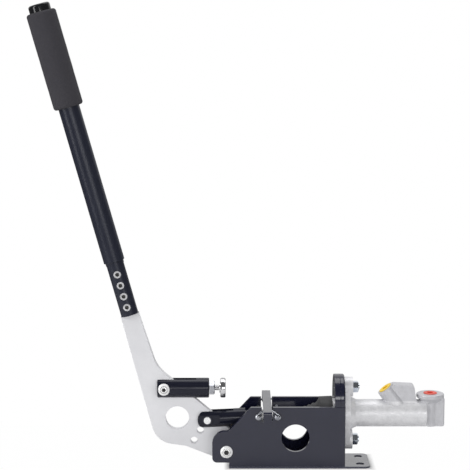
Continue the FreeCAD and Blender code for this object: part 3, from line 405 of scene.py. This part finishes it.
FINISH = {
    "near_side_plate": BLACK_PAINT, "far_side_plate": BLACK_PAINT, "floor_plate": FOOT_PAINT_PAINTED_LIGHT,
    "end_plate": BLACK_PAINT, "adapter_plate": BLACK_PAINT, "lock_bar": BLACK_PAINT,
    "cylinder_body": CASTING, "inlet_plug": YELLOW, "outlet_plug": RED,
    "flange_bolts": BLUE_ZINC, "flange_nuts": BLUE_ZINC,
    "stop_washer": ZINC, "retaining_ring": WIRE, "piston": BLADE_METAL, "piston_seals": RUBBER,
    "return_spring": WIRE, "dust_boot": RUBBER,
    "pivot_bolt": ZINC, "pivot_nut": ZINC, "pivot_sleeve": ZINC, "pivot_spacers": ZINC,
    "pivot_bushing": BRONZE, "lever_blade": BLADE_METAL, "blade_socket": TUBE_BLACK,
    "socket_screws": SCREW_ZINC, "handle_tube": TUBE_BLACK, "foam_grip": FOAM, "end_cap": GLOSS_BLACK,
    "stop_block": BAR_BLACK, "stop_block_screw": ZINC, "stop_block_nut": ZINC,
    "stop_screw": POLISHED_ZINC, "stop_lock_nut": STEEL, "clevis_link": BAR_BLACK,
    "link_pin": ZINC, "link_pin_clips": BLACK_PAINT, "push_rod": ZINC, "push_rod_nut": ZINC,
    "lock_springs": STEEL, "spring_screws": STEEL,
}


# Meshes

def merged(node):
    """Copy of a CAD node with its doubled points joined and its flat faces whole."""
    bm = bmesh.new()
    bm.from_mesh(frame["nodes"][node].data)
    bmesh.ops.remove_doubles(bm, verts=bm.verts, dist=WELD)
    bmesh.ops.dissolve_limit(bm, angle_limit=FLAT_ANGLE, verts=bm.verts, edges=bm.edges)
    return bm


def mesh_from(bm, name, sharp=None):
    """Smooth-shaded mesh from a bmesh, which is freed; edges over the sharp angle stay hard."""
    for face in bm.faces:
        face.smooth = True
    mesh = bpy.data.meshes.new(name)
    bm.to_mesh(mesh)
    bm.free()
    if sharp is not None:
        mesh.set_sharp_from_angle(angle=sharp)
    return mesh


def joined(parts):
    """One bmesh from several, which are freed."""
    whole = bmesh.new()
    for bm in parts:
        part = bpy.data.meshes.new("part")
        bm.to_mesh(part)
        bm.free()
        whole.from_mesh(part)
        bpy.data.meshes.remove(part)
    return whole


def in_order(bm):
    """The same mesh, its points and faces in one order each run, whichever the operators left."""
    points = sorted(bm.verts, key=lambda vert: tuple(vert.co))
    rank = {vert: i for i, vert in enumerate(points)}
    rows = [[rank[vert] for vert in face.verts] for face in bm.faces]
    made = bmesh.new()
    verts = [made.verts.new(vert.co) for vert in points]
    for row in sorted(rows):
        made.faces.new([verts[i] for i in row])
    bm.free()
    return made


def thread(radius, pitch, start, end):
    """Threaded bar along X from start to end: one turn of a zigzag line, offset by a pitch."""
    bm = bmesh.new()
    turns = int((end - start) / pitch) + 3
    line = []
    for i in range(turns * 2 + 1):
        r = radius if i % 2 else radius - pitch * THREAD_DEPTH
        line.append(bm.verts.new((start - pitch + i * pitch / 2, 0.0, r)))
    edges = [bm.edges.new(pair) for pair in zip(line, line[1:])]
    bmesh.ops.spin(bm, geom=line + edges, cent=(0, 0, 0), axis=(1, 0, 0), angle=2 * math.pi,
                   steps=THREAD_STEPS, dvec=(pitch / THREAD_STEPS, 0, 0), use_merge=False)
    bmesh.ops.remove_doubles(bm, verts=bm.verts, dist=0.000005)
    for place, outward in ((start, -1), (end, 1)):
        bmesh.ops.bisect_plane(bm, geom=bm.verts[:] + bm.edges[:] + bm.faces[:], plane_co=(place, 0, 0),
                               plane_no=(outward, 0, 0), clear_outer=True)
        rim = [e for e in bm.edges if e.is_boundary and abs(e.verts[0].co.x - place) < 0.00001]
        bmesh.ops.edgeloop_fill(bm, edges=rim)
    bmesh.ops.recalc_face_normals(bm, faces=bm.faces)
    return bm


def collar(radius, thickness, middle):
    """Plain round collar about X."""
    bm = bmesh.new()
    bmesh.ops.create_cone(bm, cap_ends=True, segments=48, radius1=radius, radius2=radius, depth=thickness)
    bmesh.ops.rotate(bm, verts=bm.verts, cent=(0, 0, 0), matrix=Matrix.Rotation(math.pi / 2, 3, "Y"))
    bmesh.ops.translate(bm, verts=bm.verts, vec=(middle, 0, 0))
    return bm


def knurled_wheel(radius, left, right):
    """Wheel along X whose rim carries a diamond knurl between plain edges."""
    bm = bmesh.new()
    width = (right - left) / (KNURL_ROWS + 1)
    for row in range(KNURL_ROWS + 2):
        plain = row in (0, KNURL_ROWS + 1)
        ring = bmesh.ops.create_circle(bm, segments=2 * KNURL_TEETH, radius=radius)["verts"]
        for i, vert in enumerate(ring):
            sunk = RIM_DEPTH if plain else KNURL_DEPTH * ((i + row) % 2)
            scale = (radius - sunk) / radius
            vert.co = Vector((left + row * width, vert.co.x * scale, vert.co.y * scale))
    bm.edges.ensure_lookup_table()
    bmesh.ops.bridge_loops(bm, edges=bm.edges[:])
    rims = [e for e in bm.edges if e.is_boundary]
    bmesh.ops.holes_fill(bm, edges=rims, sides=0)
    caps = [f for f in bm.faces if len(f.verts) > 4]
    bmesh.ops.inset_region(bm, faces=caps, thickness=FACE_RIM, depth=FACE_STEP)
    bmesh.ops.recalc_face_normals(bm, faces=bm.faces)
    return bm


def axis_point(place):
    """Nearest point of the handle's axis."""
    return AXIS_FOOT + UP_LEVER * (place - AXIS_FOOT).dot(UP_LEVER)


# Pieces

def finished(name, mesh, node):
    """Object for a finished mesh; it rides with the CAD node's body and stands for that node."""
    piece = bpy.data.objects.new(name, mesh)
    bpy.context.scene.collection.objects.link(piece)
    mesh.materials.clear()
    mesh.materials.append(FINISH[node])
    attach(piece, BODY_OF[node])
    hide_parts(node)
    return piece


def dressed(node, edge):
    """Merged copy of a CAD node with soft edges and smooth round faces."""
    name = node + "_finish"
    piece = finished(name, mesh_from(merged(node), name, None if edge else EDGE_ANGLE), node)
    if edge:
        bevel = piece.modifiers.new("soft_edges", "BEVEL")
        bevel.width = edge
        bevel.segments = EDGE_STEPS
        bevel.limit_method = "ANGLE"
        bevel.angle_limit = EDGE_ANGLE
        bevel.use_clamp_overlap = True
        flats = piece.modifiers.new("flat_faces", "WEIGHTED_NORMAL")
        flats.weight = FLAT_WEIGHT
    return piece


def islands(bm):
    """Sets of points that hang together, one for each separate solid of a node."""
    left = set(bm.verts)
    while left:
        island = {left.pop()}
        edge = list(island)
        while edge:
            for link in edge.pop().link_edges:
                for vert in link.verts:
                    if vert not in island:
                        island.add(vert)
                        edge.append(vert)
        left -= island
        yield island


def blacken_sockets(piece):
    """Painted shade: dark colour in the hexagon sockets of screws whose heads face the near side."""
    bm = bmesh.new()
    bm.from_mesh(piece.data)
    for island in islands(bm):
        low = [min(v.co[i] for v in island) for i in range(3)]
        high = [max(v.co[i] for v in island) for i in range(3)]
        axis = Vector(((low[0] + high[0]) / 2, 0.0, (low[2] + high[2]) / 2))
        reach = (high[0] - low[0]) / 2 * SOCKET_SHARE
        for face in bm.faces:
            if face.verts[0] not in island:
                continue
            middle = face.calc_center_median()
            arm = Vector((middle.x, 0.0, middle.z)) - axis
            facing = face.normal.dot(arm.normalized()) if arm.length > 0.00001 else 0.0
            is_wall = facing < -0.5
            is_floor = face.normal.y < -0.9 and middle.y > low[1] + SOCKET_DEPTH
            if arm.length < reach and (is_wall or is_floor):
                face.material_index = 1
    bm.to_mesh(piece.data)
    bm.free()
    piece.data.materials.append(SOCKET_SHADE)


def give_way(piece):
    """Give a spring or the boot a mesh of its own."""
    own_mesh(piece)


def stop_screw():
    """Threaded stud with a knurled striking wheel."""
    low, high = [Vector(corner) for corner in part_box("stop_screw")]
    middle = (low + high) / 2
    wheel_r = (high[2] - low[2]) / 2
    wheel_left = high[0] - WHEEL_T
    whole = joined([
        thread(STUD_R, STUD_PITCH, low[0], wheel_left + STUD_LAP),
        collar(COLLAR_R, COLLAR_T, wheel_left - COLLAR_SINK),
        knurled_wheel(wheel_r, wheel_left, high[0]),
    ])
    bmesh.ops.translate(whole, verts=whole.verts, vec=(0, 0, middle[2]))
    mesh = mesh_from(in_order(whole), "stop_screw_detail", SCREW_ANGLE)
    finished("stop_screw_detail", mesh, "stop_screw")


def foam_grip():
    """Foam sleeve with a soft, slightly uneven skin."""
    copy = merged("foam_grip")
    along = [e for e in copy.edges if e.calc_length() > GRIP_LONG_EDGE]
    bmesh.ops.subdivide_edges(copy, edges=along, cuts=GRIP_CUTS, use_grid_fill=True)
    for vert in copy.verts:
        outward = vert.co - axis_point(vert.co)
        if outward.length > GRIP_SKIN_R:
            swell = sum(noise.noise(vert.co * wave) * height for wave, height in GRIP_WAVES)
            vert.co += outward.normalized() * (swell - GRIP_INSET)
    piece = finished("foam_grip_skin", mesh_from(copy, "foam_grip_skin", GRIP_ANGLE), "foam_grip")


def dress_all():
    for node, edge in EDGE_ROUNDING.items():
        piece = dressed(node, edge)
        if node in SOCKET_HEADS:
            blacken_sockets(piece)
        if node in GIVES_WAY:
            give_way(piece)
    stop_screw()
    foam_grip()
    for node, made in frame["nodes"].items():
        made.data.materials.clear()
        made.data.materials.append(FINISH[node])


# Stage

def camera():
    data = bpy.data.cameras.new("camera")
    data.sensor_width = SENSOR_WIDTH
    data.lens = SENSOR_WIDTH * FOCAL_PIXELS / FRAME_PIXELS
    data.clip_end = CAMERA_REACH
    holder = bpy.data.objects.new("camera", data)
    back = Vector((0.0, -math.cos(CAMERA_PITCH), math.sin(CAMERA_PITCH)))
    holder.location = LOOK_AT + back * CAMERA_DISTANCE
    holder.rotation_euler = (math.pi / 2 - CAMERA_PITCH, 0.0, 0.0)
    bpy.context.scene.collection.objects.link(holder)
    bpy.context.scene.camera = holder


def lamp(name, place, aim, size, power):
    data = bpy.data.lights.new(name, "AREA")
    data.shape = "RECTANGLE"
    data.size, data.size_y = size
    data.energy = power
    holder = bpy.data.objects.new(name, data)
    holder.location = place
    holder.rotation_euler = (Vector(aim) - Vector(place)).to_track_quat("-Z", "Y").to_euler()
    bpy.context.scene.collection.objects.link(holder)


def world():
    """White all round for the camera; for reflections, white behind the object and a dim room elsewhere."""
    made = bpy.data.worlds.new("studio")
    made.use_nodes = True
    made.node_tree.nodes.clear()
    bpy.context.scene.world = made
    w = Nodes(made.node_tree)
    path = w.node("ShaderNodeLightPath")
    _, y, z = w.split(w.node("ShaderNodeTexCoord").outputs["Generated"])
    card = w.math("MULTIPLY", w.between(y, 0.0, 1.0, *WHITE_BEHIND, "SMOOTHSTEP"),
                  w.between(z, 0.0, 1.0, *WHITE_ABOVE, "SMOOTHSTEP"))
    soft = w.node("ShaderNodeBackground")
    soft.inputs["Strength"].default_value = ROOM_LIGHT
    shine = w.node("ShaderNodeBackground")
    w.link(w.between(card, ROOM_DIM, 1.0, 0.0, 1.0), shine.inputs["Strength"])
    white = w.node("ShaderNodeBackground")
    white.inputs["Color"].default_value = (1.0, 1.0, 1.0, 1.0)
    seen = w.mixed_shader(path.outputs["Is Glossy Ray"], soft.outputs[0], shine.outputs[0])
    whole = w.mixed_shader(path.outputs["Is Camera Ray"], seen, white.outputs[0])
    w.link(whole, w.node("ShaderNodeOutputWorld").inputs["Surface"])


def own_white(s):
    """Share of the floor's own white: low under the base and at its edge, full a little way out."""
    low, high = [Vector(corner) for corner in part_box("floor_plate")]
    middle, half = (low + high) / 2, (high - low) / 2
    x, y, _ = s.split(s.place)
    past = [s.math("SUBTRACT", s.math("ABSOLUTE", s.math("SUBTRACT", place, centre)), reach)
            for place, centre, reach in ((x, middle.x, half.x), (y, middle.y, half.y))]
    return s.between(s.math("MAXIMUM", *past), FLOOR_WHITE_UNDER, FLOOR_WHITE, 0.0, SHADE_REACH)


def floor():
    """Pale floor that shows as near white and keeps a soft shadow."""
    bm = bmesh.new()
    bmesh.ops.create_grid(bm, x_segments=2, y_segments=2, size=FLOOR_HALF)
    for vert in bm.verts:
        vert.co.y = min(vert.co.y, FLOOR_BACK)
    mesh = bpy.data.meshes.new("floor")
    bm.to_mesh(mesh)
    bm.free()
    made = bpy.data.objects.new("floor", mesh)
    bpy.context.scene.collection.objects.link(made)
    s = Surface("pale_floor")
    s.set(Base_Color=(FLOOR_GREY, FLOOR_GREY, FLOOR_GREY, 1.0), Roughness=0.9, Specular_IOR_Level=0.1)
    glow = s.node("ShaderNodeEmission")
    glow.inputs["Strength"].default_value = 1.0
    seen = s.node("ShaderNodeLightPath").outputs["Is Camera Ray"]
    share = s.math("MULTIPLY", seen, own_white(s))
    whole = s.mixed_shader(share, s.shader.outputs[0], glow.outputs[0])
    s.link(whole, s.tree.nodes["Material Output"].inputs["Surface"])
    mesh.materials.append(s.material)


dress_all()
camera()
for lamp_name, settings in LAMPS.items():
    lamp(lamp_name, *settings)
world()
floor()

bpy.context.scene.view_settings.view_transform = "Standard"
